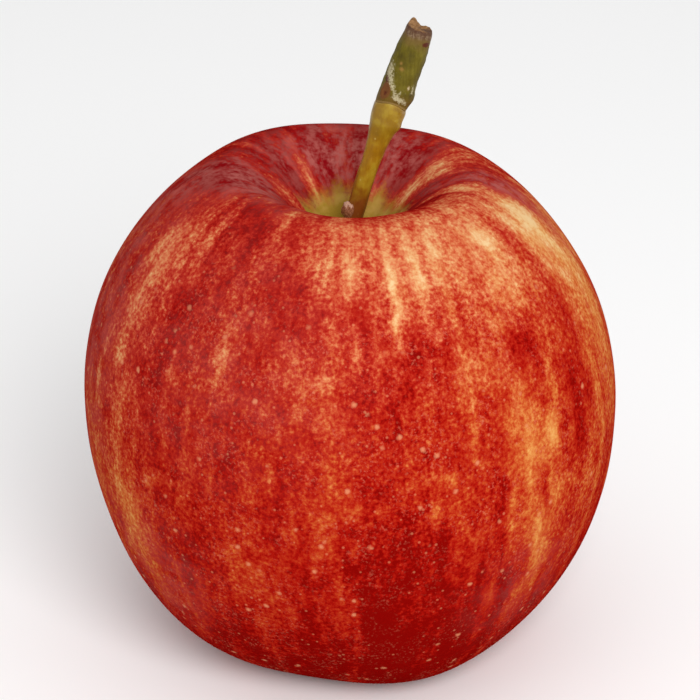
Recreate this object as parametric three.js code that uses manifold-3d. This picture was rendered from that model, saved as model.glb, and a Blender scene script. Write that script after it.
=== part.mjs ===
// A ripe red apple with its stem, as picked, standing on the five lobes of its base.
// Millimetres, +Z up. The origin is on the resting plane under the middle of the fruit,
// and the side that faces -Y is the front.

import * as THREE from 'three';
import { mergeVertices } from 'three/addons/utils/BufferGeometryUtils.js';
import Module from 'manifold-3d';

const wasm = await Module();
wasm.setup();

// Driving dimensions of the fruit
const fruitRadius = 37;
const fruitHeight = 69.5;
const equatorHeight = 35.5;
const shoulderRadius = 17; // the ring where the top is highest
const footRadius = 15; // the ring of the five feet
const cavityDepth = 13; // the hollow that holds the stem
const cavityFlare = 5;
const cavityRise = 3;
const basinDepth = 8.5; // the hollow that holds the calyx
const basinMouth = 11;
const basinFloor = 6.5;

// How full the half-section is between those heights, as shares of the way to its corners
const shoulderFullness = 0.19;
const upperSideFullness = 0.70;
const lowerSideFullness = 0.56;
const baseFullness = 0.48;
const lipFullness = 0.55;

// The five lobes, where they begin as shares of the height, and how far the fruit leans
// from a turned shape
const lobes = 5;
const topLobeAngle = -94;
const topLobeShare = 0.02;
const topLobeStart = 0.4;
const baseLobeAngle = -67;
const baseLobeShare = 0.025;
const baseLobeEnd = 0.6;
const topLeanHeight = -0.65;
const topLeanRadius = 18;
const flankLeanHeight = 1.05;
const flankLeanWidth = 10;
const footDrop = 0.3; // what the resting plane takes off each foot
const footWidth = 5;

// Driving dimensions of the stem and of the stub of spur wood that broke off with it
const stemRadius = 1.22;
const stemHeadRadius = 2.12;
const stubRadius = 2.22;
const stubTopRadius = 1.85;
const stubSlope = 0.1; // of the broken end, lower on the right
const barkSwelling = 0.35;

// Driving dimensions of the dried calyx under the fruit
const calyxRadius = 3.6;
const sepals = 5;
const sepalWidth = 2.9;
const sepalTipWidth = 0.6;
const sepalThickness = 0.7;
const stamens = 10;
const stamenRadius = 0.32;
const stamenLength = 3.2;
const stamenRing = 1.7;

const gap = 0.3; // between pieces that touch
const fruitSides = 80;
const twigSides = 14;
const calyxSides = 20;

const point = (x, y) => new THREE.Vector2(x, y);
const smooth = (value) => THREE.MathUtils.smoothstep(value, 0, 1);
const radians = THREE.MathUtils.degToRad;
const between = THREE.MathUtils.lerp;

// A closed shape turned round Z from a half-section of (radius, height) that starts and
// ends on the axis, at the end with the lowest height.
function turned(section, sides) {
  const geometry = new THREE.LatheGeometry(section, sides);
  geometry.rotateX(Math.PI / 2);
  return welded(geometry);
}

// The same shape with each corner kept once.
function welded(geometry) {
  const bare = geometry.clone();
  bare.deleteAttribute('normal');
  bare.deleteAttribute('uv');
  return mergeVertices(bare, 1e-4);
}

// Moves every corner of a shape to where the rule puts it.
function moved(geometry, rule) {
  const position = geometry.getAttribute('position');
  const corner = new THREE.Vector3();
  for (let i = 0; i < position.count; i += 1) {
    corner.fromBufferAttribute(position, i);
    rule(corner);
    position.setXYZ(i, corner.x, corner.y, corner.z);
  }
  return geometry;
}

function toSolid(geometry) {
  const mesh = new wasm.Mesh({
    numProp: 3,
    vertProperties: new Float32Array(geometry.getAttribute('position').array),
    triVerts: new Uint32Array(geometry.getIndex().array),
  });
  return new wasm.Manifold(mesh);
}

function toGeometry(solid) {
  const { vertProperties, triVerts } = solid.getMesh();
  const geometry = new THREE.BufferGeometry();
  geometry.setAttribute('position', new THREE.BufferAttribute(vertProperties, 3));
  geometry.setIndex(new THREE.BufferAttribute(triVerts, 1));
  return geometry;
}

function finish(name, solid, color, roughness) {
  const flat = toGeometry(solid).toNonIndexed();
  flat.computeVertexNormals();
  const mesh = new THREE.Mesh(flat, new THREE.MeshStandardMaterial({ color, roughness, metalness: 0 }));
  mesh.name = name;
  return mesh;
}

// Fruit: the half-section runs from the calyx basin over the base, the sides and the
// shoulder into the stem cavity.
function fruitSection() {
  const basin = new THREE.CubicBezierCurve(
    point(0, basinDepth),
    point(basinFloor, basinDepth),
    point(basinMouth, 0),
    point(footRadius, 0),
  );
  const lowerSide = new THREE.CubicBezierCurve(
    point(footRadius, 0),
    point(between(footRadius, fruitRadius, baseFullness), 0),
    point(fruitRadius, equatorHeight * (1 - lowerSideFullness)),
    point(fruitRadius, equatorHeight),
  );
  const upperSide = new THREE.CubicBezierCurve(
    point(fruitRadius, equatorHeight),
    point(fruitRadius, between(equatorHeight, fruitHeight, upperSideFullness)),
    point(between(shoulderRadius, fruitRadius, shoulderFullness), fruitHeight),
    point(shoulderRadius, fruitHeight),
  );
  const cavity = new THREE.CubicBezierCurve(
    point(shoulderRadius, fruitHeight),
    point(shoulderRadius * lipFullness, fruitHeight),
    point(cavityFlare, fruitHeight - cavityDepth + cavityRise),
    point(0, fruitHeight - cavityDepth),
  );
  return [
    ...basin.getPoints(8),
    ...lowerSide.getPoints(13).slice(1),
    ...upperSide.getPoints(12).slice(1),
    ...cavity.getPoints(9).slice(1),
  ];
}

// The five lobes swell the shoulder and the base, the base ones reach down as feet, and
// one side of the shoulder and of the flank sits a little higher than the other.
function growFruit(corner) {
  const radius = Math.hypot(corner.x, corner.y);
  const angle = Math.atan2(corner.y, corner.x);
  const share = corner.z / fruitHeight;
  const top = smooth((share - topLobeStart) / (1 - topLobeStart));
  const base = smooth((baseLobeEnd - share) / baseLobeEnd);
  const topLobe = Math.cos(lobes * (angle - radians(topLobeAngle)));
  const baseLobe = Math.cos(lobes * (angle - radians(baseLobeAngle)));
  const swelling = 1 + topLobeShare * top * topLobe + baseLobeShare * base * baseLobe;
  const shoulder = top * Math.min(radius / topLeanRadius, 1);
  const flank = base * smooth((radius - footRadius) / flankLeanWidth);
  const foot = share < 0.5 ? Math.exp(-(((radius - footRadius) / footWidth) ** 2)) : 0;
  corner.x *= swelling;
  corner.y *= swelling;
  corner.z += (shoulder * topLeanHeight - flank * flankLeanHeight) * Math.cos(angle);
  corner.z -= foot * footDrop * baseLobe;
}

function makeFruit(stem, calyx) {
  const grown = toSolid(moved(turned(fruitSection(), fruitSides), growFruit));
  const under = new THREE.BoxGeometry(4 * fruitRadius, 4 * fruitRadius, fruitRadius);
  under.translate(0, 0, -fruitRadius / 2);
  const standing = grown.subtract(toSolid(welded(under)));
  return standing.subtract(stem).subtract(calyx);
}

// Stem and stub follow one centreline in the plane y = 0. Lengths along it start at the
// root in the fruit, and pieces on it are turned shapes that are carried onto it.
const twigLine = new THREE.CatmullRomCurve3([
  new THREE.Vector3(-1.4, 0, 54),
  new THREE.Vector3(-0.9, 0, 57),
  new THREE.Vector3(0.6, 0, 63.3),
  new THREE.Vector3(2.9, 0, 71.4),
  new THREE.Vector3(4.85, 0, 77.4),
  new THREE.Vector3(7.87, 0, 86),
  new THREE.Vector3(9.97, 0, 92.5),
]);
const twigLength = twigLine.getLength();

function carryOntoTwig(corner) {
  const along = THREE.MathUtils.clamp(corner.z / twigLength, 0, 1);
  const centre = twigLine.getPointAt(along);
  const run = twigLine.getTangentAt(along);
  const side = corner.x;
  corner.x = centre.x + side * run.z;
  corner.z = centre.z - side * run.x;
}

// Stem: a slender round stalk, thicker at its root and at the head where the stub joins.
const stemHead = 25.9; // length along the twig to the rim of the head
const crownRadius = 1.2;
const crownHeight = 0.5; // how far the head is domed
const crownShoulder = 0.75 * crownHeight;

function stemSection(extra) {
  const side = new THREE.SplineCurve([
    point(stemRadius + 0.2, 1),
    point(stemRadius + 0.05, 4),
    point(stemRadius, 9.5),
    point(stemRadius, 14.5),
    point(stemRadius + 0.03, 18),
    point(stemRadius + 0.4, 22),
    point(stemHeadRadius - 0.1, 24.3),
    point(stemHeadRadius, stemHead),
  ]);
  const turnedSide = side.getPoints(20).map((p) => point(p.x + extra, p.y));
  return [
    point(0, 0.3 - extra),
    point(0.9 + extra, 0.4 - extra),
    ...turnedSide,
    point(crownRadius, stemHead + crownShoulder + extra),
    point(0, stemHead + crownHeight + extra),
  ];
}

// The scar that a small leaf left low on the stem, on its left.
function leafScar() {
  const scar = new THREE.SphereGeometry(1, 8, 6);
  scar.scale(0.9, 0.95, 1.3);
  scar.translate(-0.15, -0.5, 64.3);
  return toSolid(welded(scar));
}

function makeStem(extra) {
  const stalk = toSolid(moved(turned(stemSection(extra), twigSides), carryOntoTwig));
  return stalk.add(leafScar());
}

// Spur stub: a short piece of the twig's wood and bark that sits on the stem's head,
// narrows a little upwards and ends in a slanted break.
const stubFoot = stemHead + 0.4;
const stubEnd = 38.1;
const breakStart = 34; // length from which the stub slants with its break

function stubSection() {
  const bark = new THREE.SplineCurve([
    point(stemHeadRadius, stubFoot),
    point(stubRadius, stubFoot + 1),
    point(stubRadius, stubFoot + 4),
    point(stubRadius - 0.05, stubFoot + 8),
    point(stubTopRadius, stubEnd - 0.8),
    point(stubTopRadius - 0.15, stubEnd - 0.2),
  ]);
  return [
    point(0, stubFoot + crownHeight),
    point(crownRadius, stubFoot + crownShoulder),
    ...bark.getPoints(16),
    point(stubTopRadius / 2, stubEnd),
    point(0, stubEnd - 0.2),
  ];
}

// The bark swells over the joint on the right, and the break rises to the left.
const swellingLength = stubFoot + 1.9;
const swellingWidth = 1.3;

function growStub(corner) {
  const broken = smooth((corner.z - breakStart) / (stubEnd - breakStart));
  const angle = Math.atan2(corner.y, corner.x);
  const radius = Math.hypot(corner.x, corner.y);
  const swollen = Math.exp(-(((corner.z - swellingLength) / swellingWidth) ** 2)) * Math.max(Math.cos(angle), 0);
  const grown = radius > stubTopRadius ? 1 + (barkSwelling * swollen) / radius : 1;
  corner.z -= broken * stubSlope * corner.x;
  corner.x *= grown;
  corner.y *= grown;
}

function makeStub() {
  const geometry = moved(turned(stubSection(), twigSides), growStub);
  return toSolid(moved(geometry, carryOntoTwig));
}

// Calyx: the dried flower under the fruit, a small cup set in the floor of the basin with
// five sepals that close over its mouth and turn out at their tips, round dried stamens.
const cupTop = basinDepth + 1.1;

// The hollow that it sits in is cut from the same section, reached down through the floor.
function calyxCup(extra) {
  const reach = 6 * extra;
  return toSolid(turned([
    point(0, basinDepth - 0.2 - reach),
    point(2.2 + extra, basinDepth - 0.4 - reach),
    point(3.0 + extra, basinDepth - 1.1 - reach),
    point(calyxRadius + extra, basinDepth - 0.6 - reach),
    point(calyxRadius + extra, cupTop - 0.3 + extra),
    point(calyxRadius - 0.3 + extra, cupTop + extra),
    point(0, cupTop + extra),
  ], calyxSides));
}

const sepalLine = new THREE.CubicBezierCurve(
  point(3.1, basinDepth + 0.2),
  point(2.7, basinDepth - 2.6),
  point(1.3, basinDepth - 3.6),
  point(4.7, basinDepth - 5.5),
);
const sepalTaper = 1.6;

// A blade lies flat along X, narrows to its tip and is then bent along the sepal's line.
function makeSepal(turn) {
  const blade = new THREE.BoxGeometry(1, sepalWidth, sepalThickness, 7, 2, 1);
  blade.translate(0.5, 0, 0);
  moved(blade, (corner) => {
    const along = corner.x;
    const width = between(1, sepalTipWidth / sepalWidth, along ** sepalTaper);
    const centre = sepalLine.getPoint(along);
    const run = sepalLine.getTangent(along);
    corner.set(centre.x - corner.z * run.y, corner.y * width, centre.y + corner.z * run.x);
  });
  blade.rotateZ(turn);
  return toSolid(welded(blade));
}

// A thin upright thread that hangs from the cup, at a distance from its middle.
function makeThread(foot, tip, length, sides, ring, turn) {
  const thread = new THREE.CylinderGeometry(foot, tip, length, sides);
  thread.rotateX(Math.PI / 2);
  thread.translate(ring, 0, basinDepth + 0.4 - length / 2);
  thread.rotateZ(turn);
  return toSolid(welded(thread));
}

function makeCalyx() {
  let calyx = calyxCup(0).add(makeThread(0.7, 0.45, 3.4, 6, 0, 0));
  for (let i = 0; i < sepals; i += 1) {
    calyx = calyx.add(makeSepal(radians(baseLobeAngle) + ((i + 0.5) * 2 * Math.PI) / sepals));
  }
  for (let i = 0; i < stamens; i += 1) {
    const turn = ((i + 0.25) * 2 * Math.PI) / stamens;
    calyx = calyx.add(makeThread(stamenRadius, stamenRadius, stamenLength, 5, stamenRing, turn));
  }
  return calyx;
}

const apple = new THREE.Group();
apple.add(finish('fruit', makeFruit(makeStem(gap), calyxCup(gap)), 0xa8281c, 0.38));
apple.add(finish('stem', makeStem(0), 0x8c6e28, 0.7));
apple.add(finish('spur_stub', makeStub(), 0x6b5c2a, 0.8));
apple.add(finish('calyx', makeCalyx(), 0x5a4630, 0.9));

export default apple;
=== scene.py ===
import math
import random

import bpy
import numpy as np
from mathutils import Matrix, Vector, noise


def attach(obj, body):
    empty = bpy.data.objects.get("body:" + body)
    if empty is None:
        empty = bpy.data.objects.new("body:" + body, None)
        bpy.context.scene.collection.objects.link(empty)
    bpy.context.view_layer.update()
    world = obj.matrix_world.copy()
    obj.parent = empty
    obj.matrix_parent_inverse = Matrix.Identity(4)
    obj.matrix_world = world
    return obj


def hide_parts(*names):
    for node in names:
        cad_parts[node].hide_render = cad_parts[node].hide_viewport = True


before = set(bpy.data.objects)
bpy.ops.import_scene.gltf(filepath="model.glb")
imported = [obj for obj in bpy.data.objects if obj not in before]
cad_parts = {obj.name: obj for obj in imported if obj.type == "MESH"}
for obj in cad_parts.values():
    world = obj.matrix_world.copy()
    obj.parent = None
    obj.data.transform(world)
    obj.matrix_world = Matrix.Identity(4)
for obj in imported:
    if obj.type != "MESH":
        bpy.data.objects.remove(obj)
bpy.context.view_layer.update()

# Fruit
# The flesh and skin of one apple, grown round its core in five lobes. It is a drawn
# half-section turned about the core, then swollen and leant as the fruit grew. The thin
# waxy skin is red in streaks over a yellow ground, and green-brown in the stem cavity.
mm = 0.001
to_mm = 1 / mm
fruit_radius = 37 * mm
fruit_height = 69.5 * mm
equator_height = 35.5 * mm
shoulder_radius = 17 * mm
foot_radius = 15 * mm
cavity_depth = 13 * mm
basin_depth = 8.5 * mm
cavity_flare = 5 * mm
cavity_rise = 3 * mm
basin_mouth = 11 * mm
basin_floor = 6.5 * mm
shoulder_fullness = 0.19
upper_side_fullness = 0.70
lower_side_fullness = 0.56
base_fullness = 0.48
lip_roundness = 0.55
lobes = 5
top_lobe_angle = math.radians(-94)
top_lobe_share = 0.02
top_lobe_start = 0.4
base_lobe_angle = math.radians(-67)
base_lobe_share = 0.025
base_lobe_end = 0.6
top_lean = -0.65 * mm
top_lean_radius = 18 * mm
flank_lean = 1.05 * mm
flank_lean_width = 10 * mm
foot_drop = 0.3 * mm
foot_width = 5 * mm


def deselect():
    bpy.ops.object.select_all(action="DESELECT")


def draw_outline(name, knots, steps):
    """A bezier line in the XZ plane. A knot is (radius, height), or that with its two handles."""
    deselect()
    bpy.ops.curve.primitive_bezier_curve_add()
    outline = bpy.context.object
    outline.name = name
    outline.data.resolution_u = steps
    points = outline.data.splines[0].bezier_points
    points.add(len(knots) - len(points))
    for point, knot in zip(points, knots):
        drawn_by_hand = len(knot) == 3
        radius, height = knot[1] if drawn_by_hand else knot
        point.co = (radius, 0, height)
        point.handle_left_type = "FREE" if drawn_by_hand else "AUTO"
        point.handle_right_type = point.handle_left_type
        if drawn_by_hand:
            point.handle_left = (knot[0][0], 0, knot[0][1])
            point.handle_right = (knot[2][0], 0, knot[2][1])
    bpy.ops.object.convert(target="MESH")
    return outline


def places(piece):
    """The corners of a piece, one row each."""
    found = np.zeros(len(piece.data.vertices) * 3)
    piece.data.vertices.foreach_get("co", found)
    return found.reshape(-1, 3)


def put(piece, corners):
    piece.data.vertices.foreach_set("co", np.asarray(corners, float).ravel())
    piece.data.update()


def paint(piece, name, amounts):
    """Keeps one number for each corner, for a material to read."""
    layer = piece.data.attributes.get(name)
    if layer is None:
        layer = piece.data.attributes.new(name, "FLOAT", "POINT")
    layer.data.foreach_set("value", np.asarray(amounts, np.float32).ravel())


def painted(piece, name):
    found = np.zeros(len(piece.data.vertices), np.float32)
    piece.data.attributes[name].data.foreach_get("value", found)
    return found.astype(float)


def turn(name, knots, steps, sides):
    """A closed piece turned from its half-section. Each corner keeps its run along the outline."""
    piece = draw_outline(name, knots, steps)
    corners = places(piece)
    lengths = np.linalg.norm(np.diff(corners, axis=0), axis=1)
    paint(piece, "run", np.concatenate([[0], np.cumsum(lengths)]))
    bpy.ops.object.mode_set(mode="EDIT")
    bpy.ops.mesh.select_all(action="SELECT")
    bpy.ops.mesh.spin(steps=sides, angle=2 * math.pi, center=(0, 0, 0), axis=(0, 0, 1))
    bpy.ops.mesh.select_all(action="SELECT")
    bpy.ops.mesh.remove_doubles(threshold=1e-6)
    bpy.ops.mesh.normals_make_consistent(inside=False)
    bpy.ops.object.mode_set(mode="OBJECT")
    bpy.ops.object.shade_smooth()
    return piece


def smooth(value, low, high):
    """0 up to low, 1 from high on, and a smooth step between."""
    share = np.clip((value - low) / (high - low), 0, 1)
    return share * share * (3 - 2 * share)


def between(low, high, share):
    return low + (high - low) * share


def unevenness(corners, size, seed):
    """Soft noise from -1 to 1 over the corners, with swellings about one size across."""
    shift = Vector((seed, 2 * seed, 3 * seed))
    return np.array([noise.noise(Vector(corner) / size + shift) for corner in corners])


fruit = turn(
    "apple_fruit",
    [
        ((0, fruit_height - cavity_depth), (0, fruit_height - cavity_depth),
         (cavity_flare, fruit_height - cavity_depth + cavity_rise)),
        ((shoulder_radius * lip_roundness, fruit_height), (shoulder_radius, fruit_height),
         (between(shoulder_radius, fruit_radius, shoulder_fullness), fruit_height)),
        ((fruit_radius, between(equator_height, fruit_height, upper_side_fullness)),
         (fruit_radius, equator_height),
         (fruit_radius, equator_height * (1 - lower_side_fullness))),
        ((between(foot_radius, fruit_radius, base_fullness), 0), (foot_radius, 0), (basin_mouth, 0)),
        ((basin_floor, basin_depth), (0, basin_depth), (0, basin_depth)),
    ],
    steps=72,
    sides=330,
)


def grow_fruit(corners):
    """Swells the lobes of shoulder and base, lets the base ones down as feet and leans both ends."""
    x, y, z = corners.T
    radius = np.hypot(x, y)
    angle = np.arctan2(y, x)
    share = z / fruit_height
    top = smooth(share, top_lobe_start, 1.0)
    base = 1 - smooth(share, 0.0, base_lobe_end)
    top_lobe = np.cos(lobes * (angle - top_lobe_angle))
    base_lobe = np.cos(lobes * (angle - base_lobe_angle))
    swelling = 1 + top_lobe_share * top * top_lobe + base_lobe_share * base * base_lobe
    shoulder = top * np.minimum(radius / top_lean_radius, 1)
    flank = base * smooth(radius, foot_radius, foot_radius + flank_lean_width)
    foot = np.where(share < 0.5, np.exp(-(((radius - foot_radius) / foot_width) ** 2)), 0)
    height = z + (shoulder * top_lean - flank * flank_lean) * np.cos(angle)
    height = height - foot * foot_drop * base_lobe
    return np.column_stack([x * swelling, y * swelling, np.maximum(height, 0)])


dimple_size = 9 * mm
dimple_depth = 0.09 * mm
cavity_ribs = 17
rib_depth = 0.05 * mm
rib_wander = 2.5
rib_wander_size = 14 * mm
ribs_begin = (1 * mm, 5 * mm)
ribs_end = (9 * mm, 17 * mm)
basin_puckers = 10
pucker_depth = 0.22 * mm
pucker_wander = 2.0
pucker_wander_size = 9 * mm
puckers_begin = (107 * mm, 113 * mm)
puckers_end = (115 * mm, 119 * mm)
smooth_near_ground = (0.2 * mm, 4 * mm)

along_skin = painted(fruit, "run")
turned_corners = places(fruit)
around = np.arctan2(turned_corners[:, 0], -turned_corners[:, 1])
corners = grow_fruit(turned_corners)
clear_of_ground = smooth(corners[:, 2], *smooth_near_ground)
lift = dimple_depth * unevenness(turned_corners, dimple_size, seed=1.7) * clear_of_ground

in_cavity = smooth(along_skin, *ribs_begin) * (1 - smooth(along_skin, *ribs_end))
rib_turn = cavity_ribs * around + rib_wander * unevenness(turned_corners, rib_wander_size, seed=5.0)
lift = lift + rib_depth * np.cos(rib_turn) * in_cavity

in_basin = smooth(along_skin, *puckers_begin) * (1 - smooth(along_skin, *puckers_end))
wander = pucker_wander * unevenness(turned_corners, pucker_wander_size, seed=8.0)
puckers = np.cos(basin_puckers * (around - base_lobe_angle) + wander)
lift = lift + pucker_depth * puckers * in_basin * clear_of_ground

away = turned_corners - np.array([0, 0, equator_height])
away = away / np.linalg.norm(away, axis=1)[:, None]
put(fruit, corners + away * lift[:, None])


# Where the yellow ground shows through the red, from a careful look at the fruit: degrees
# round from the front, millimetres down the skin from the stem, half width in degrees,
# half length in millimetres, and how much of the red is missing. First the broad pale areas.
bare_marks = [
    (25, 27, 26, 8, 0.38), (44, 30, 11, 7, 0.2), (-8, 26, 13, 9, 0.2), (76, 18, 5, 4, 0.6),
    (75, 24, 7, 6, 0.58), (75, 30, 8.5, 5, 0.72), (78, 38, 6, 8, 0.25), (72, 36, 8, 5, 0.38),
    (110, 19, 15, 6, 0.48), (87, 39, 6, 7, 0.4), (48, 21, 5, 3, 0.3), (52, 26, 6, 4, 0.3),
    (60, 54, 14, 14, 0.12), (56, 23, 9, 5, 0.28), (64, 26, 5, 6, 0.4), (54, 35, 8, 5, 0.24),
    (51, 27, 3, 3, 0.2), (78, 45, 8, 18, 0.32), (70, 42, 12, 12, 0.3), (5, 21, 70, 3.5, 0.28),
    (14, 26, 10, 4, 0.14), (-22, 21, 6, 3, 0.35), (112, 11, 20, 3, 0.4), (-63, 39, 6, 14, 0.24),
    (-57, 36, 14, 3.5, 0.2), (4, 25, 7, 4, 0.22), (-76, 31, 7, 5, 0.2), (-28, 54, 9, 12, 0.05),
    (-42, 86, 10, 7, 0.2), (50, 78, 9, 8, 0.2), (25, 47, 5, 8, 0.18), (62, 76, 6, 9, 0.2),
    (-72, 70, 8, 12, 0.2), (-22, 78, 6, 9, 0.12), (-140, 12, 7, 6, 0.55), (-97, 12, 10, 5, 0.5),
    (112, 13, 6, 3, 0.35), (150, 10, 14, 3, 0.4),
]
# Then the streaks and patches of the shoulder, the flanks and the front.
bare_marks += [
    (12, 30, 1.8, 6.5, 0.5), (12, 36, 1.2, 3.5, 0.45), (20.5, 29, 1.6, 6, 0.4),
    (21.5, 34, 1.2, 3, 0.25), (-6, 26, 2, 5, 0.25), (-1, 25, 2, 3.5, 0.3), (20, 25, 3, 3, 0.25),
    (49, 28, 3, 3, 0.3), (-36, 21, 5, 3, 0.2), (0, 28, 1.5, 5, 0.28), (30, 27, 2, 5, 0.25),
    (17, 34, 5, 4.5, 0.38), (27.5, 36, 4, 3, 0.22), (-1, 32.5, 4.5, 4, 0.25), (5, 35, 3, 3, 0.2),
    (9, 41, 3, 3, 0.2), (-22, 42, 5, 9, 0.12), (-9, 44, 3, 3, 0.14), (38, 38.5, 3, 3, 0.14),
    (40, 25.5, 4, 3, 0.26), (12, 22.5, 14, 2.5, 0.22), (-49, 34, 4, 3, 0.14), (-41, 30, 4, 4, 0.12),
    (43, 48, 3, 4, 0.15), (40, 60, 3, 3, 0.1), (-18, 59, 3, 3, 0.12), (-4, 58, 3, 3, 0.12),
    (20.5, 60, 3, 3, 0.12), (28, 70, 3.5, 4, 0.14), (37, 72, 3.5, 4, 0.15), (47, 68, 4, 4, 0.12),
    (38, 48, 3.5, 6, 0.18), (27, 47, 3, 4, 0.16), (14, 48, 3, 3, 0.16), (-4, 51, 2.5, 3, 0.2),
    (35, 58, 3.5, 6, 0.16), (40, 62, 3, 5, 0.2), (16.5, 60, 4, 3, 0.14), (30, 44, 1.5, 4, 0.2),
    (28, 40, 1.2, 6, 0.2), (6, 30, 1.2, 6, 0.18), (6.5, 44, 1, 5, 0.15), (45, 27, 3, 3, 0.25),
    (51, 29, 4, 2.5, 0.35), (46, 35, 5, 3, 0.35), (38.5, 41, 2, 3.5, 0.3), (42, 40, 2.5, 2.5, 0.35),
    (27, 31, 2.5, 3, 0.25), (48, 31, 2.5, 3, 0.25), (34, 46, 2.5, 3, 0.25), (-29, 41, 3, 3, 0.3),
    (29, 24, 6, 2, 0.2), (-60, 32, 5, 4, 0.26), (-66, 33, 2, 3, 0.2), (-51, 31, 2, 3, 0.25),
    (-57, 57, 3, 5, 0.2), (-56, 66, 4, 6, 0.25), (-53, 73, 4, 6, 0.38), (-48, 79, 4, 6, 0.25),
    (-46, 64, 2, 1.6, 0.3), (-43, 49, 3, 3, 0.22), (-31, 45, 1.5, 3, 0.3), (-28, 26, 3, 4, 0.3),
    (-15, 30, 2, 2, 0.2), (-15, 43, 5, 4, 0.15), (-4, 50, 3, 6, 0.1), (-4, 63, 3, 6, 0.14),
    (-2, 41, 3, 6, 0.18), (-7, 45, 2, 3, 0.25), (-5, 67, 2.5, 2, 0.28), (-22, 75, 4, 5, 0.2),
    (-14, 78, 1.8, 7, 0.28), (-21, 85, 2, 5, 0.22), (-1, 80, 3, 6, 0.12), (-1, 61, 3, 4, 0.15),
    (35, 66, 2, 8, 0.22), (39, 54, 3.2, 6, 0.36), (43, 56, 3, 5, 0.35), (47.5, 57, 2.2, 3, 0.6),
    (49, 52, 1, 4, 0.3), (43, 66, 2.2, 8, 0.26), (50, 65, 3, 5, 0.42), (45, 72, 3, 5, 0.4),
    (40, 68, 3, 6, 0.2), (41, 80, 2.5, 4, 0.3), (32, 80, 2, 4, 0.35), (45, 78, 3, 4, 0.25),
    (38, 86, 6, 6, 0.2), (55, 45, 3, 2, 0.28), (17, 63, 1.2, 2.5, 0.3), (21, 59, 1.6, 1.3, 0.38),
    (27, 68, 1.5, 1.3, 0.38), (28, 55, 3, 4, 0.15), (66, 58, 3, 5, 0.2), (67, 66, 2, 6, 0.2),
    (-20, 26, 4, 5, 0.14),
]

# Where the red is deepest, in the same terms.
deep_marks = [
    (22, 55, 4, 4, 0.13), (26, 58, 3.5, 4, 0.12), (46, 59, 3, 4, 0.05), (42, 29.5, 4, 3, 0.12),
    (62, 30, 4, 3, 0.14), (68, 36, 4, 4, 0.14), (44, 39, 3, 3, 0.05), (0, 51, 3, 3, 0.12),
    (-18, 51, 3, 3, 0.1), (-75, 22, 14, 4, 0.3), (-42, 56, 9, 10, 0.13), (-12, 52, 3, 4, 0.12),
    (4, 65, 4, 7, 0.1), (-13, 68, 7, 8, 0.1), (21, 73, 4, 6, 0.12), (-60, 28, 6, 4, 0.12),
    (14, 84, 30, 15, 0.28), (24, 74, 9, 10, 0.12), (41, 62, 4, 9, 0.1), (-37, 65, 8, 12, 0.06),
    (-47, 55, 7, 6, 0.06), (-14, 68, 13, 9, 0.13), (-57, 51, 4, 3, 0.15), (-8, 71, 4, 4, 0.12),
    (57, 54, 5, 9, 0.24), (62, 43, 5, 5, 0.16), (46, 45, 4, 3, 0.16), (42, 44, 3, 4, 0.12),
    (-42, 23, 7, 3, 0.2), (-36, 27, 5, 4, 0.12), (-20, 31, 4, 6, 0.12), (-12, 36, 9, 3, 0.1),
    (3, 36, 3, 3, 0.12), (9, 55, 5, 10, 0.08), (34, 54, 2, 7, 0.14), (33, 63, 2, 6, 0.1),
    (-10, 82, 3, 12, 0.12), (-10, 54, 3, 3, 0.1), (-47, 38, 4, 3, 0.1), (45.5, 68, 1, 4, 0.25),
    (-90, 24, 12, 8, 0.2), (175, 17, 4, 5, 0.35), (-161, 18, 8, 2.5, 0.3), (133, 15, 8, 3, 0.3),
    (146, 16, 6, 3, 0.25), (-160, 12, 12, 3, 0.2), (-123, 14, 8, 3, 0.25), (132, 15, 12, 4, 0.3),
    (180, 22, 60, 8, 0.14), (-35, 86, 12, 10, 0.12),
]

# Where the waxy bloom dulls the skin, in the same terms. These marks also carry painted light: a
# painted reflection of the pale surroundings over the top and the flanks, and painted shade on the
# right flank.
bloom_reflection_and_shade_marks = [
    (180, 16, 72, 6.5, 0.95), (-72, 19, 36, 5, 0.85), (90, 26, 8, 10, 0.9), (-92, 28, 14, 9, 0.6),
    (80, 23, 14, 4, 0.35), (-28, 44, 26, 16, 0.17), (-80, 50, 17, 40, 0.4), (-30, 20, 16, 3, 0.5),
    (-50, 80, 16, 10, 0.35), (44, 80, 14, 8, 0.3), (92, 45, 18, 28, 0.22),
]
mark_steepness = 1.3


def mark_field(marks, degrees, run):
    """Soft-edged ovals laid over each other, each one hiding a share of what is left."""
    left = np.ones(len(run))
    for angle, middle, half_width, half_length, amount in marks:
        turned = (degrees - angle + 180) % 360 - 180
        distance = (turned / half_width) ** 2 + ((run / mm - middle) / half_length) ** 2
        left = left * (1 - amount * np.exp(-(distance ** mark_steepness)))
    return 1 - left


# The back gets streaks of its own, each drawn from these ranges.
back_mark_count = 60
back_mark_ranges = [
    (95, 265),  # degrees round from the front
    (24, 92),  # millimetres down the skin
    (1.5, 6),  # half width in degrees
    (4, 11),  # half length in millimetres
    (0.1, 0.4),  # how much of the red is missing
]
draw = random.Random(11)
back_marks = []
for _ in range(back_mark_count):
    back_marks.append(tuple(draw.uniform(low, high) for low, high in back_mark_ranges))

# The marks get ragged edges, because each corner reads them a little away from its own place.
ragged_turn = 2.4
ragged_turn_size = 3.5 * mm
ragged_shift = 2.5 * mm
ragged_shift_size = 4.5 * mm
turned_aside = ragged_turn * unevenness(turned_corners, ragged_turn_size, seed=3.3)
ragged_degrees = np.degrees(around) + turned_aside
ragged_run = along_skin + ragged_shift * unevenness(turned_corners, ragged_shift_size, seed=7.1)
paint(fruit, "bare", mark_field(bare_marks + back_marks, ragged_degrees, ragged_run))
paint(fruit, "deep", mark_field(deep_marks, ragged_degrees, ragged_run))
# the bloom marks, with their painted reflection and painted shade
paint(fruit, "bloom", mark_field(bloom_reflection_and_shade_marks, ragged_degrees, ragged_run))


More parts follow.
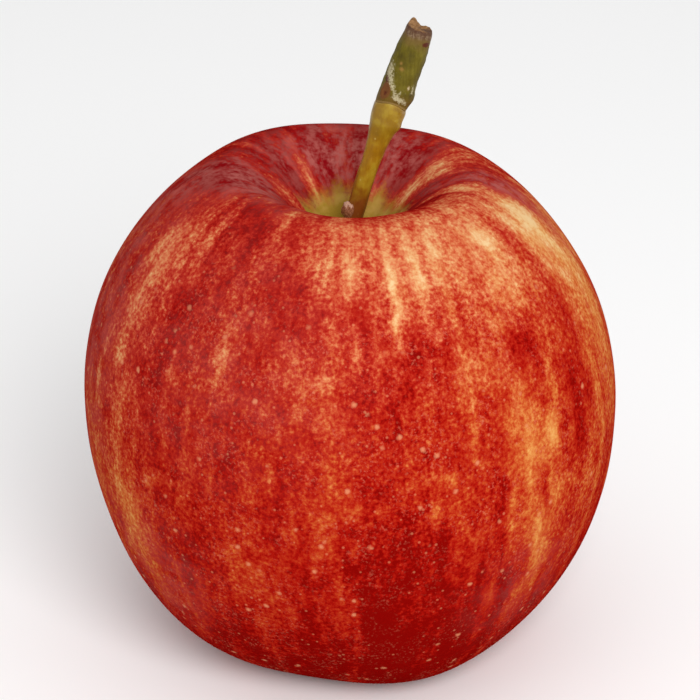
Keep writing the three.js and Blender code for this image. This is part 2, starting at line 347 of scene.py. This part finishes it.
class Field:
    """A number, colour or direction that changes over a surface: one output of a finish's nodes."""

    def __init__(self, finish, socket):
        self.finish = finish
        self.socket = socket

    def maths(self, operation, first, second):
        return self.finish.node("ShaderNodeMath", {"operation": operation}, {0: first, 1: second})

    def __add__(self, other):
        return self.maths("ADD", self, other)

    def __sub__(self, other):
        return self.maths("SUBTRACT", self, other)

    def __mul__(self, other):
        return self.maths("MULTIPLY", self, other)

    def __radd__(self, other):
        return self.maths("ADD", other, self)

    def __rsub__(self, other):
        return self.maths("SUBTRACT", other, self)

    def above(self, low, high):
        """0 up to low, 1 from high on, and a smooth step between."""
        inputs = {"Value": self, "From Min": low, "From Max": high}
        return self.finish.node("ShaderNodeMapRange", {"interpolation_type": "SMOOTHSTEP"}, inputs)

    def below(self, low, high):
        return 1 - self.above(low, high)

    def clamped(self):
        return self.finish.node("ShaderNodeClamp", {}, {"Value": self})


class Finish:
    """The material of one kind of surface, built up on a Principled shader."""

    def __init__(self, name):
        self.material = bpy.data.materials.new(name)
        self.material.use_nodes = True
        self.nodes = self.material.node_tree.nodes
        self.links = self.material.node_tree.links
        self.shader = self.nodes["Principled BSDF"]

    def node(self, kind, settings, inputs, output=0):
        made = self.nodes.new(kind)
        for name, setting in settings.items():
            if name == "stops":
                self.set_stops(made.color_ramp, setting)
            else:
                setattr(made, name, setting)
        for name, value in inputs.items():
            self.feed(made.inputs[name], value)
        return Field(self, made.outputs[output])

    def set_stops(self, ramp, stops):
        while len(ramp.elements) < len(stops):
            ramp.elements.new(1.0)
        for element, (position, colour) in zip(ramp.elements, stops):
            element.position = position
            element.color = colour

    def feed(self, socket, value):
        if isinstance(value, Field):
            self.links.new(value.socket, socket)
        else:
            socket.default_value = value

    def place(self):
        """Where a point is on the object, in millimetres."""
        inputs = {0: self.node("ShaderNodeTexCoord", {}, {}, "Object"), "Scale": to_mm}
        return self.node("ShaderNodeVectorMath", {"operation": "SCALE"}, inputs)

    def parts(self, direction):
        names = ("X", "Y", "Z")
        return [self.node("ShaderNodeSeparateXYZ", {}, {0: direction}, name) for name in names]

    def joined(self, x, y, z):
        return self.node("ShaderNodeCombineXYZ", {}, {"X": x, "Y": y, "Z": z})

    def mark(self, name):
        """A number painted on the corners of the piece."""
        return self.node("ShaderNodeAttribute", {"attribute_name": name}, {}, "Fac")

    def cloud(self, where, scale, detail, roughness):
        """Noise from 0 to 1. Scale is in clouds per millimetre."""
        inputs = {"Vector": where, "Scale": scale, "Detail": detail, "Roughness": roughness}
        return self.node("ShaderNodeTexNoise", {}, inputs, "Fac")

    def mixed(self, share, first, second):
        inputs = {"Factor": share, 6: first, 7: second}
        return self.node("ShaderNodeMix", {"data_type": "RGBA"}, inputs, 2)

    def ramp(self, share, stops):
        return self.node("ShaderNodeValToRGB", {"stops": stops}, {"Fac": share})

    def raised(self, height, distance, strength):
        inputs = {"Height": height, "Distance": distance, "Strength": strength}
        return self.node("ShaderNodeBump", {}, inputs)

    def set(self, **sockets):
        for name, value in sockets.items():
            self.feed(self.shader.inputs[name.replace("_", " ")], value)

    def cover(self, piece):
        piece.data.materials.clear()
        piece.data.materials.append(self.material)


def tint(red, green, blue):
    """A colour as it looks on a screen, 0 to 255, made into the light that it reflects."""
    shares = [value / 255 for value in (red, green, blue)]
    linear = [s / 12.92 if s <= 0.04045 else ((s + 0.055) / 1.055) ** 2.4 for s in shares]
    return (*linear, 1.0)


def make_skin():
    skin = Finish("apple_skin")
    where = skin.place()
    x, y, _ = skin.parts(where)
    from_core = skin.joined(x, y, 0.0)
    ray = skin.node("ShaderNodeVectorMath", {"operation": "NORMALIZE"}, {0: from_core})
    ray_x, ray_y, _ = skin.parts(ray)
    run = skin.mark("run") * to_mm
    bare = skin.mark("bare")
    deep = skin.mark("deep")

    # places along the skin, pressed together lengthwise so that noise there comes out as streaks
    round_x = ray_x * (fruit_radius * to_mm)
    round_y = ray_y * (fruit_radius * to_mm)
    broad = skin.cloud(skin.joined(round_x, round_y, run * 0.5), 0.08, 2.0, 0.5)
    streaks = skin.cloud(skin.joined(round_x, round_y, run * 0.22), 0.36, 4.0, 0.62)
    blotches = skin.cloud(where, 0.45, 3.0, 0.6)
    mottle = skin.cloud(where, 1.8, 2.0, 0.6)
    grain = skin.cloud(where, 4.5, 2.0, 0.6)
    brushed = skin.cloud(skin.joined(ray_x * 5.0, ray_y * 5.0, run * 0.14), 1.0, 4.0, 0.65)
    top = run.below(20.0, 30.0)

    # red is how ripe a spot is: 0 shows the bare ground, 1 the deepest crimson
    stripes = (broad - 0.5) * 0.75 + (streaks - 0.5) * 0.95 + (blotches - 0.5) * 0.65
    stipple = (mottle - 0.5) * 0.95 + (grain - 0.5) * 0.2
    red = 0.73 + stripes * (1.0 - bare * 0.7) + stipple * (1.0 - bare * 0.65 - deep * 1.1)
    red = red - bare * 0.8 + deep * 0.8 + run.above(70.0, 100.0) * 0.2
    red = red + top * (0.14 + (brushed - 0.5) * 1.3)
    ripeness = red.clamped()
    rosy = skin.ramp(ripeness, [
        (0.0, tint(216, 182, 134)),
        (0.18, tint(207, 151, 101)),
        (0.35, tint(197, 113, 73)),
        (0.5, tint(182, 74, 47)),
        (0.65, tint(166, 40, 27)),
        (0.82, tint(150, 19, 13)),
        (1.0, tint(122, 7, 7)),
    ])
    golden = skin.ramp(ripeness, [
        (0.0, tint(214, 166, 98)),
        (0.18, tint(202, 134, 70)),
        (0.35, tint(189, 100, 47)),
        (0.5, tint(176, 68, 30)),
        (0.65, tint(165, 39, 18)),
        (0.82, tint(151, 15, 8)),
        (1.0, tint(122, 5, 3)),
    ])

    # the red leans to rose near the top, and to gold lower down and sooner on the right
    sunny = (run + ray_x * 12.0 + (blotches - 0.5) * 40.0).above(30.0, 62.0)
    colour = skin.mixed(sunny, rosy, golden)

    # pale flecks that crowd together in patches
    crowded = skin.cloud(where, 0.3, 3.0, 0.6).above(0.4, 0.62)
    flecks = skin.cloud(where, 2.6, 2.0, 0.6).above(0.53, 0.7) * crowded * run.above(22.0, 40.0)
    flecks = flecks * (1.0 - deep * 2.0).clamped()
    colour = skin.mixed(flecks * 0.3, colour, tint(212, 128, 100))

    # the waxy bloom, thin and brushed outwards: wine red underneath and dusty pink on top. The dusty
    # pink is also a painted reflection of the pale surroundings, and on the right flank the wine red is
    # also painted shade.
    bloom = skin.mark("bloom") * (1.0 - bare * 1.4).clamped()
    smears = skin.cloud(skin.joined(ray_x * 8.0, ray_y * 8.0, run * 0.35), 1.0, 3.0, 0.6)
    dusty_bloom_and_reflection = (blotches * 0.3 + brushed * 0.3 + smears * 0.5 + (mottle - 0.5) * 0.2).above(0.44, 0.66)
    colour = skin.mixed(bloom * (0.6 - dusty_bloom_and_reflection * 0.4), colour, tint(126, 12, 22))
    colour = skin.mixed(bloom * dusty_bloom_and_reflection * 0.66, colour, tint(184, 108, 100))

    # the bare floor of the cavity runs out in points
    spread = skin.cloud(skin.joined(ray_x * 2.2, ray_y * 2.2, 0.0), 1.0, 2.0, 0.5)
    floor_edge = run + (spread - 0.5) * 13.0 + (mottle - 0.5) * 3.0
    floor = floor_edge.below(7.5, 11.5)
    floor_colour = skin.mixed(blotches.above(0.35, 0.65), tint(144, 118, 40), tint(166, 134, 64))
    colour = skin.mixed(floor * 0.95, colour, floor_colour)

    # the skin of the basin underneath is golden brown
    basin = (run + (blotches - 0.5) * 16.0 + (mottle - 0.5) * 4.0).above(110.0, 121.0)
    colour = skin.mixed(basin * 0.7, colour, tint(150, 104, 38))

    # pale pores, large and fine
    dots = skin.node("ShaderNodeTexVoronoi", {}, {"Vector": where, "Scale": 0.31}, "Distance")
    pores = (dots - (mottle - 0.5) * 0.2).below(0.03, 0.16) * run.above(22.0, 50.0)
    fine_dots = skin.node("ShaderNodeTexVoronoi", {}, {"Vector": where, "Scale": 0.62}, "Distance")
    fine_pores = (fine_dots - (streaks - 0.5) * 0.2).below(0.06, 0.15) * run.above(15.0, 40.0)
    speck = (pores + fine_pores * 0.5).clamped()
    colour = skin.mixed(speck * 0.7, colour, tint(208, 134, 96))

    skin.set(
        Base_Color=colour,
        Roughness=0.4 + (grain - 0.5) * 0.15,
        Normal=skin.raised((grain - 0.5) + speck * 0.6, distance=0.05 * mm, strength=0.35),
        Specular_IOR_Level=0.0,
    )
    return skin


make_skin().cover(fruit)
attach(fruit, "root")
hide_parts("fruit")

# Stem
# The fruit's own stalk, a tough green-brown fibre no thicker than a match, rooted in the
# core. It is a turned piece carried onto a bent line, with low ridges along it, a swollen
# head where the twig joined, and the scar of a small leaf near its foot.
twig_line = np.array([
    (-1.4, 54), (-0.9, 57), (0.6, 63.3), (2.9, 71.4), (4.85, 77.4), (7.87, 86), (9.97, 92.5),
]) * mm
twig_top = 93.5 * mm
twig_samples = 400
twig_drift = np.polynomial.Polynomial.fit(twig_line[:, 1], twig_line[:, 0], deg=5)
twig_heights = np.linspace(twig_line[0, 1], twig_top, twig_samples)
twig_steps = np.hypot(np.diff(twig_drift(twig_heights)), np.diff(twig_heights))
twig_run = np.concatenate([[0], np.cumsum(twig_steps)])
stem_head = 25.9 * mm
joint_arch = 1.0 * mm
joint_middle = 0.3 * mm
joint_reach = 1.8 * mm
stem_ridges = 7
stem_ridge_height = 0.03 * mm
stem_ridge_wander = 3
stem_ridge_wander_size = 6 * mm
stem_lump_height = 0.05 * mm
stem_lump_size = 1.3 * mm
head_knob = 23.5 * mm
head_knob_length = 0.8 * mm
head_knob_height = 0.26 * mm
stem_wall = (0.9 * mm, 1.15 * mm)


def carry_onto_twig(corners):
    """Lengths along Z become lengths along the twig's line, which stays in the plane y = 0."""
    height = np.interp(corners[:, 2], twig_run, twig_heights)
    slope = twig_drift.deriv()(height)
    rise = np.hypot(slope, 1)
    side = corners[:, 0]
    return np.column_stack([
        twig_drift(height) + side / rise,
        corners[:, 1],
        height - side * slope / rise,
    ])


def swell(corners, amount):
    """Moves corners of an upright turned piece away from its axis."""
    radius = np.maximum(np.hypot(corners[:, 0], corners[:, 1]), 1e-6)
    grown = corners.copy()
    grown[:, :2] *= (1 + amount / radius)[:, None]
    return grown


def arch_joint(corners):
    """The joint of stem and stub stands higher at the front than at its sides."""
    angle = np.arctan2(corners[:, 1], corners[:, 0])
    rim = smooth(np.hypot(corners[:, 0], corners[:, 1]), joint_middle, joint_reach)
    near = np.exp(-(((corners[:, 2] - stem_head) / joint_reach) ** 2))
    arched = corners.copy()
    arched[:, 2] += joint_arch * rim * near * np.maximum(-np.sin(angle), 0) ** 2
    return arched


def knots_in_mm(pairs):
    return [(radius * mm, height * mm) for radius, height in pairs]


def round_degrees(corners):
    return np.degrees(np.arctan2(corners[:, 1], corners[:, 0]))


stem = turn(
    "stem_stalk",
    knots_in_mm([
        (0, 0.4), (1.1, 0.5), (1.42, 1.3), (1.3, 4), (1.26, 9.5), (1.26, 14.5), (1.28, 18),
        (1.42, 20), (1.7, 22), (2.04, 23.8), (2.21, 25.1), (2.2, 25.85), (2.12, 26.06),
        (1.2, 26.17), (0, 26.27),
    ]),
    steps=14,
    sides=96,
)
corners = places(stem)
around_stem = np.radians(round_degrees(corners))
wander = stem_ridge_wander * unevenness(corners, stem_ridge_wander_size, seed=2.0)
lift = stem_ridge_height * np.cos(stem_ridges * around_stem + wander)
lift = lift + stem_lump_height * unevenness(corners, stem_lump_size, seed=9.0)
knob = np.exp(-(((corners[:, 2] - head_knob) / head_knob_length) ** 2))
lift = lift + head_knob_height * knob * np.maximum(np.cos(around_stem), 0)
side_wall = smooth(np.hypot(corners[:, 0], corners[:, 1]), *stem_wall)
put(stem, carry_onto_twig(arch_joint(swell(corners, side_wall * lift))))
paint(stem, "scar", np.zeros(len(corners)))
paint(stem, "length", corners[:, 2])

scar_radius = np.array([1.02, 0.95, 1.4]) * mm
scar_place = np.array([-0.12, -0.5, 64.2]) * mm
scar_along_stem = 11 * mm
scar_top = 0.78
deselect()
bpy.ops.mesh.primitive_uv_sphere_add(segments=48, ring_count=32, radius=1)
leaf_scar = bpy.context.object
corners = places(leaf_scar)
lumps = 1 + 0.2 * unevenness(corners, 0.7, seed=4.0) + 0.12 * unevenness(corners, 0.3, seed=6.0)
flattened = np.minimum(corners[:, 2], scar_top + 0.2 * unevenness(corners, 0.5, seed=2.0))
corners = np.column_stack([corners[:, 0] * lumps, corners[:, 1] * lumps, flattened])
put(leaf_scar, corners * scar_radius + scar_place)
# the scar's top is paler, from whitish flakes and a painted highlight where it faces up
pale_flakes_and_highlight = smooth(corners[:, 2] + 0.3 * unevenness(corners, 0.4, seed=5.0), 0.3, 0.75)
paint(leaf_scar, "scar", 1 + pale_flakes_and_highlight)
paint(leaf_scar, "length", np.full(len(corners), scar_along_stem))
bpy.ops.object.shade_smooth()
stem.select_set(True)
bpy.context.view_layer.objects.active = stem
bpy.ops.object.join()


def make_stem_finish():
    stalk = Finish("green_brown_stem")
    where = stalk.place()
    x, y, z = stalk.parts(where)
    length = stalk.mark("length") * to_mm
    scar = stalk.mark("scar")
    fibres = stalk.cloud(stalk.joined(x, y, z * 0.15), 2.2, 3.0, 0.6)
    blotches = stalk.cloud(where, 0.6, 2.0, 0.5)
    grain = stalk.cloud(where, 5.0, 2.0, 0.6)
    colour = stalk.ramp(blotches * 0.6 + fibres * 0.4, [
        (0.3, tint(130, 88, 8)),
        (0.5, tint(150, 106, 10)),
        (0.7, tint(166, 130, 26)),
    ])
    head = length.above(19.5, 23.5)
    colour = stalk.mixed(head * 0.55, colour, tint(122, 98, 16))
    # painted highlight: blotches of pale yellow where light falls on the stalk
    brushed = stalk.cloud(stalk.joined(x, y, z * 0.3), 0.9, 2.0, 0.5)
    painted_highlight = (blotches * 0.5 + brushed * 0.5).above(0.48, 0.62)
    colour = stalk.mixed(painted_highlight * 0.35, colour, tint(172, 147, 40))
    root = (length + (blotches - 0.5) * 4.0).below(11.5, 15.5)
    colour = stalk.mixed(root * 0.85, colour, tint(112, 44, 12))
    scar_colour = stalk.mixed(grain.above(0.4, 0.6), tint(112, 60, 36), tint(150, 96, 66))
    colour = stalk.mixed(scar.above(0.2, 0.9), colour, scar_colour)
    # the pale top of the leaf scar: whitish flakes with a painted highlight
    colour = stalk.mixed((scar + (grain - 0.5)).above(1.4, 2.0) * 0.65, colour, tint(196, 154, 130))
    colour = stalk.mixed(length.above(25.8, 26.1) * 0.3, colour, tint(160, 130, 70))
    dots = stalk.node("ShaderNodeTexVoronoi", {}, {"Vector": where, "Scale": 0.7}, "Distance")
    spots = (dots - (grain - 0.5) * 0.2).below(0.06, 0.15)
    colour = stalk.mixed(spots * 0.5, colour, tint(196, 172, 92))
    stalk.set(
        Base_Color=colour,
        Roughness=0.38 + (grain - 0.5) * 0.2,
        Normal=stalk.raised(fibres * 0.6 + grain * 0.4, distance=0.12 * mm, strength=0.6),
        Specular_IOR_Level=0.35,
    )
    return stalk


make_stem_finish().cover(stem)
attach(stem, "root")
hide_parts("stem")

# Spur stub
# A short piece of the fruiting twig that snapped off with the stem. It sits on the stem's
# head over a thin joint line: young olive bark with pale flakes and a bud scar low on its
# left, a dark rim, and orange-brown torn wood at the ragged break.
stub = turn(
    "spur_bark",
    knots_in_mm([
        (0, 26.5), (1.2, 26.4), (1.9, 26.17), (2.11, 26.12), (2.18, 26.35), (2.2, 28.5), (2.22, 31),
        (2.18, 33.5), (2.04, 35.4), (1.86, 37), (1.8, 37.6), (1.7, 37.85), (1.5, 37.9), (0.8, 37.85),
        (0, 37.8),
    ]),
    steps=18,
    sides=170,
)

# Marks in the same order as on the fruit, but their degrees start at the twig's right, which
# puts the front at -90, and their millimetres run up the twig.
flake_marks = [
    (-152, 31.9, 20, 0.9, 0.7), (-148, 31.0, 22, 0.9, 0.9), (-136, 30.3, 15, 0.6, 0.9),
    (-126, 29.9, 10, 0.5, 0.8), (-117, 29.5, 9, 0.5, 0.7), (-109, 29.2, 8, 0.45, 0.7),
    (-103, 28.7, 8, 0.4, 0.7), (-96, 28.0, 12, 0.7, 0.85), (-86, 27.7, 14, 0.75, 0.9),
    (-71, 27.5, 14, 0.75, 0.9), (-54, 27.2, 10, 0.5, 0.7), (-40, 29.6, 9, 0.9, 0.8),
    (-60, 29.9, 5, 0.3, 1.0), (-84, 29.0, 4, 0.25, 1.0), (-90, 28.5, 3.5, 0.22, 1.0),
    (-10, 29.4, 15, 1.1, 0.8), (60, 28.2, 16, 0.8, 0.8), (120, 33, 12, 1.2, 0.8),
    (95, 30.5, 6, 0.5, 0.8), (170, 29, 10, 0.9, 0.7),
]
tan_marks = [
    (-117, 32.9, 5, 0.2, 1.0), (-108, 32.2, 8, 0.28, 1.0), (-60, 29.9, 5, 0.3, 1.0),
    (40, 34, 8, 0.5, 1.0),
]
bud_scar_marks = [(-137, 28.3, 22, 1.5, 1.0)]
dark_marks = [
    (-148, 30.0, 14, 0.6, 1.0), (-134, 28.0, 9, 0.6, 0.7), (-46, 36.2, 24, 0.4, 1.0),
    (80, 36, 20, 0.4, 0.8), (150, 31, 8, 0.4, 0.7),
]

# The break: degrees round the twig, half width in degrees and millimetres of each rise or dip
# of its rim, and then its torn wood, which begins just inside that rim.
break_rises = [(132, 24, 0.65), (84, 26, -0.3), (-4, 25, -0.25)]
break_spread = 2 * mm
break_start = stem_head + 9 * mm
break_end = 37.7 * mm
break_roughness = 0.12 * mm
splinter_height = 0.16 * mm
break_hollow = 0.2 * mm
break_hollow_edge = (0.5 * mm, 1.5 * mm)
torn_from = (37.78 * mm, 37.84 * mm)
torn_edge = (1.6 * mm, 1.78 * mm)

# The bark: a swelling low on the right, its coarse and fine pits, and the relief of its marks.
bark_wall = (1.4 * mm, 1.8 * mm)
swelling_degrees = -10
swelling_place = 28.2 * mm
swelling_length = 1.2 * mm
swelling_height = 0.36 * mm
pit_depth = 0.07 * mm
pit_size = 1.1 * mm
fine_pit_depth = 0.025 * mm
fine_pit_size = 0.35 * mm
flake_height = 0.05 * mm
bud_scar_height = 0.16 * mm
bud_scar_ring = 0.25
dark_depth = 0.06 * mm


def break_height(degrees):
    """How far the rim of the break stands above or below the rest of it, all the way round."""
    height = 0
    for angle, half_width, rise in break_rises:
        turned = (degrees - angle + 180) % 360 - 180
        height = height + rise * mm * np.exp(-(turned / half_width) ** 2)
    return height


corners = places(stub)
stub_degrees = round_degrees(corners)
from_axis = np.hypot(corners[:, 0], corners[:, 1])
flakes = mark_field(flake_marks, stub_degrees, corners[:, 2])
bud_scar = mark_field(bud_scar_marks, stub_degrees, corners[:, 2])
darks = mark_field(dark_marks, stub_degrees, corners[:, 2])
torn = smooth(corners[:, 2], *torn_from) * (1 - smooth(from_axis, *torn_edge))
wall = smooth(from_axis, *bark_wall) * (1 - torn)
swollen = np.exp(-(((corners[:, 2] - swelling_place) / swelling_length) ** 2))
swollen = swollen * np.maximum(np.cos(np.radians(stub_degrees - swelling_degrees)), 0)
crater = np.exp(-((bud_scar - 1.0) / bud_scar_ring) ** 2)
relief = pit_depth * unevenness(corners, pit_size, seed=4.0)
relief = relief + fine_pit_depth * unevenness(corners, fine_pit_size, seed=8.0)
relief = relief + flake_height * flakes - dark_depth * darks
relief = relief + bud_scar_height * (bud_scar - crater)
lift = swelling_height * swollen + relief * wall
grown = arch_joint(swell(corners, lift))
at_break = smooth(corners[:, 2], break_start, break_end)
grown[:, 2] += at_break * break_height(stub_degrees) * smooth(from_axis, 0, break_spread)
grown[:, 2] += at_break * break_roughness * unevenness(corners * [1, 1, 0], 0.5 * mm, seed=3.0)
grown[:, 2] += torn * splinter_height * unevenness(corners * [1, 1, 0.1], 0.4 * mm, seed=6.0)
grown[:, 2] -= torn * break_hollow * (1 - smooth(from_axis, *break_hollow_edge))
put(stub, carry_onto_twig(grown))
paint(stub, "flake", flakes)
paint(stub, "tan", mark_field(tan_marks, stub_degrees, corners[:, 2]))
paint(stub, "scar", bud_scar)
paint(stub, "dark", darks)
paint(stub, "torn", torn)
paint(stub, "length", corners[:, 2])

# The corner of the break on the right keeps its bark instead of showing torn wood.
bark_corner = -20
paint(stub, "corner", smooth(np.cos(np.radians(stub_degrees - bark_corner)), 0.55, 0.95))


def make_bark_finish():
    bark = Finish("young_bark")
    where = bark.place()
    x, y, z = bark.parts(where)
    length = bark.mark("length") * to_mm
    fibres = bark.cloud(bark.joined(x, y, z * 0.15), 2.6, 3.0, 0.6)
    blotches = bark.cloud(where, 0.5, 3.0, 0.55)
    grain = bark.cloud(where, 4.0, 3.0, 0.7)
    colour = bark.ramp(blotches * 0.65 + fibres * 0.35, [
        (0.3, tint(66, 56, 6)),
        (0.5, tint(88, 77, 10)),
        (0.7, tint(108, 97, 26)),
    ])
    near_foot = length.below(27.0, 29.5)
    colour = bark.mixed(near_foot * 0.5, colour, tint(112, 78, 30))
    near_break = (length + (blotches - 0.5) * 3.0).above(35.0, 37.0)
    colour = bark.mixed(near_break * 0.6, colour, tint(104, 74, 44))
    rim = (length + (blotches - 0.5) * 2.5).above(36.6, 37.2)
    rim_grain = (grain * 0.6 + fibres * 0.4).above(0.4, 0.62)
    rim_colour = bark.mixed(rim_grain, tint(84, 56, 36), tint(122, 100, 76))
    colour = bark.mixed(rim, colour, rim_colour)
    below_break = (length + (grain - 0.5) * 0.5).above(37.35, 37.6)
    colour = bark.mixed(below_break * 0.7, colour, tint(70, 38, 24))
    scar = bark.mark("scar") + (grain - 0.5) * 0.4
    colour = bark.mixed(scar.above(0.25, 0.55), colour, tint(104, 62, 26))
    colour = bark.mixed(bark.mark("tan") * 0.7, colour, tint(150, 112, 56))
    dark = bark.mark("dark") + (grain - 0.5) * 0.6
    colour = bark.mixed(dark.above(0.3, 0.8) * 0.9, colour, tint(74, 18, 6))
    crumbs = bark.cloud(where, 3.6, 3.0, 0.8)
    flake = bark.mark("flake") * 1.3 + (crumbs - 0.5) * 3.6
    colour = bark.mixed(flake.above(0.5, 1.3) * 0.8, colour, tint(182, 172, 138))
    colour = bark.mixed(length.below(26.3, 26.6) * 0.4, colour, tint(160, 130, 80))
    torn = bark.mark("torn") * (1.0 - bark.mark("corner"))
    wood_grain = bark.cloud(where, 3.0, 3.0, 0.7)
    wood = bark.ramp(wood_grain, [
        (0.3, tint(96, 60, 30)),
        (0.5, tint(130, 94, 58)),
        (0.7, tint(160, 122, 84)),
    ])
    colour = bark.mixed(torn, colour, wood)
    bark.set(
        Base_Color=colour,
        Roughness=0.6 + (grain - 0.5) * 0.25,
        Normal=bark.raised(
            fibres * 0.4 + grain * 0.6 + flake * 0.15, distance=0.15 * mm, strength=0.6,
        ),
        Specular_IOR_Level=0.15,
    )
    return bark


make_bark_finish().cover(stub)
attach(stub, "root")
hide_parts("spur_stub")

# Calyx
# The dried flower in the basin under the fruit: a small cup grown into the flesh, five
# narrow downy sepals that close over it and turn out at their tips, and a tuft of dried
# stamens in two rings. It is one brittle grey-brown piece.
sepal_count = 5
sepal_width = 3.0 * mm
sepal_tip = 0.12 * mm
sepal_thickness = 0.45 * mm
sepal_cupping = 0.35 * mm
sepal_crinkle = 0.12 * mm
sepal_sideways = 0.35 * mm
sepal_line = np.array([(3.1, 0.2), (2.7, -2.6), (1.3, -3.6), (4.7, -5.5)]) * mm
stamen_count = 15
stamen_rings = (0.9 * mm, 1.5 * mm)
stamen_radius = 0.16 * mm
stamen_head_radius = 0.3 * mm
stamen_length = 2.6 * mm
stamen_unlikeness = 0.7 * mm
stamen_lean = 0.3 * mm
calyx_parts = []

cup = turn(
    "calyx_cup",
    [(radius * mm, basin_depth + height * mm) for radius, height in [
        (0, -0.1), (1.6, -0.2), (2.6, -0.5), (3.1, -1.0), (3.5, -0.9), (3.6, -0.3), (3.55, 0.5),
        (3.2, 1.0), (0, 1.1),
    ]],
    steps=6,
    sides=60,
)
calyx_parts.append(cup)


def cubic(knots, share):
    """A point on a bezier line, for each share of the way along it."""
    weights = [(1 - share) ** 3, 3 * share * (1 - share) ** 2, 3 * share ** 2 * (1 - share), share ** 3]
    return sum(weight[:, None] * knot for weight, knot in zip(weights, knots))


def add_sepal(number):
    """A blade cut to a point, cupped along its middle and bent along the sepal's line."""
    deselect()
    bpy.ops.mesh.primitive_grid_add(x_subdivisions=18, y_subdivisions=8, size=1)
    sepal = bpy.context.object
    corners = places(sepal)
    along = corners[:, 0] + 0.5
    across = corners[:, 1] * 2
    waves = 1 + 0.12 * np.sin(9 * along + number)
    width = sepal_width / 2 * (1 - along ** 1.7) * waves + sepal_tip
    line = cubic(sepal_line, along)
    ahead = cubic(sepal_line, along + 0.01) - line
    ahead = ahead / np.linalg.norm(ahead, axis=1)[:, None]
    fold = sepal_cupping * across ** 2 * (1 - along)
    fold = fold + sepal_crinkle * np.sin(7 * along + 2 * across + number)
    radius = line[:, 0] - fold * ahead[:, 1]
    height = basin_depth + line[:, 1] + fold * ahead[:, 0]
    side = across * width + sepal_sideways * along ** 2 * math.sin(2.3 * number)
    turned = base_lobe_angle + (number + 0.5) * 2 * math.pi / sepal_count
    put(sepal, np.column_stack([
        radius * math.cos(turned) - side * math.sin(turned),
        radius * math.sin(turned) + side * math.cos(turned),
        height,
    ]))
    thicken = sepal.modifiers.new("thickness", "SOLIDIFY")
    thicken.thickness = sepal_thickness
    thicken.offset = 0
    bpy.ops.object.modifier_apply(modifier="thickness")
    rounded = sepal.modifiers.new("rounded", "SUBSURF")
    rounded.levels = 1
    rounded.render_levels = 1
    bpy.ops.object.modifier_apply(modifier="rounded")
    return sepal


def add_stamen(number):
    """A thin dry thread with a shrivelled head."""
    turned = number * 2 * math.pi / stamen_count
    ring = stamen_rings[number % 2]
    length = stamen_length + stamen_unlikeness * math.sin(5 * number)
    foot = Vector((ring * math.cos(turned), ring * math.sin(turned), basin_depth))
    lean_x = stamen_lean * math.cos(3 * turned)
    lean_y = stamen_lean * math.sin(2 * turned)
    tip = foot + Vector((lean_x, lean_y, -length))
    deselect()
    bpy.ops.mesh.primitive_cone_add(
        vertices=7, radius1=stamen_radius, radius2=stamen_radius * 0.6, depth=length,
        location=(foot + tip) / 2, rotation=(tip - foot).to_track_quat("Z", "Y").to_euler(),
    )
    thread = bpy.context.object
    deselect()
    bpy.ops.mesh.primitive_uv_sphere_add(
        segments=8, ring_count=6, radius=stamen_head_radius, location=tip,
    )
    head = bpy.context.object
    head.scale = (0.8, 1, 1.3)
    return [thread, head]


for number in range(sepal_count):
    calyx_parts.append(add_sepal(number))
for number in range(stamen_count):
    calyx_parts.extend(add_stamen(number))
deselect()
for part in calyx_parts:
    part.select_set(True)
bpy.context.view_layer.objects.active = cup
bpy.ops.object.join()
calyx = bpy.context.object
calyx.name = "dried_calyx"
bpy.ops.object.transform_apply(location=True, rotation=True, scale=True)
bpy.ops.object.shade_smooth()


def make_calyx_finish():
    dry = Finish("dried_calyx")
    where = dry.place()
    down = dry.cloud(where, 4.0, 3.0, 0.65)
    blotches = dry.cloud(where, 0.7, 2.0, 0.5)
    colour = dry.ramp(blotches * 0.5 + down * 0.5, [
        (0.3, tint(48, 34, 22)),
        (0.5, tint(92, 70, 46)),
        (0.7, tint(142, 122, 92)),
    ])
    dry.set(
        Base_Color=colour,
        Roughness=0.85 + (down - 0.5) * 0.1,
        Normal=dry.raised(down, distance=0.15 * mm, strength=0.6),
    )
    return dry


make_calyx_finish().cover(calyx)
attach(calyx, "root")
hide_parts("calyx")

# Floor, light and camera
# A plain pale floor under the fruit, soft light all round with a large lamp high in front
# and a little to the right, and the camera where the photograph was taken from.
deselect()
bpy.ops.mesh.primitive_plane_add(size=6)
floor = bpy.context.object
floor.name = "floor"
floor_finish = Finish("pale_floor")
floor_finish.set(Base_Color=(0.94, 0.94, 0.94, 1), Roughness=0.8)
floor_finish.cover(floor)

surroundings_strength = 0.72
world = bpy.data.worlds.new("soft_surroundings")
bpy.context.scene.world = world
world.use_nodes = True
world.node_tree.nodes["Background"].inputs["Color"].default_value = (1, 1, 1, 1)
world.node_tree.nodes["Background"].inputs["Strength"].default_value = surroundings_strength
bpy.context.scene.view_settings.view_transform = "Standard"


def hang_lamp(name, place, size, power):
    bpy.ops.object.light_add(type="AREA", location=place)
    lamp = bpy.context.object
    lamp.name = name
    lamp.data.shape = "DISK"
    lamp.data.size = size
    lamp.data.energy = power
    lamp.rotation_euler = (-Vector(place)).to_track_quat("-Z", "Y").to_euler()


hang_lamp("main_lamp", place=(0.2, -0.7, 0.55), size=0.5, power=5.85)

camera_distance = 0.45
camera_elevation = math.radians(27)
focal_pixels = 3214
picture_pixels = 700
sensor_width = 36
middle_row = 401.3
bpy.ops.object.camera_add(
    location=(
        0,
        -camera_distance * math.cos(camera_elevation),
        fruit_height / 2 + camera_distance * math.sin(camera_elevation),
    ),
    rotation=(math.pi / 2 - camera_elevation, 0, 0),
)
camera = bpy.context.object
camera.data.sensor_width = sensor_width
camera.data.lens = focal_pixels / picture_pixels * sensor_width
camera.data.shift_y = (middle_row - picture_pixels / 2) / picture_pixels
camera.data.dof.use_dof = False
bpy.context.scene.camera = camera
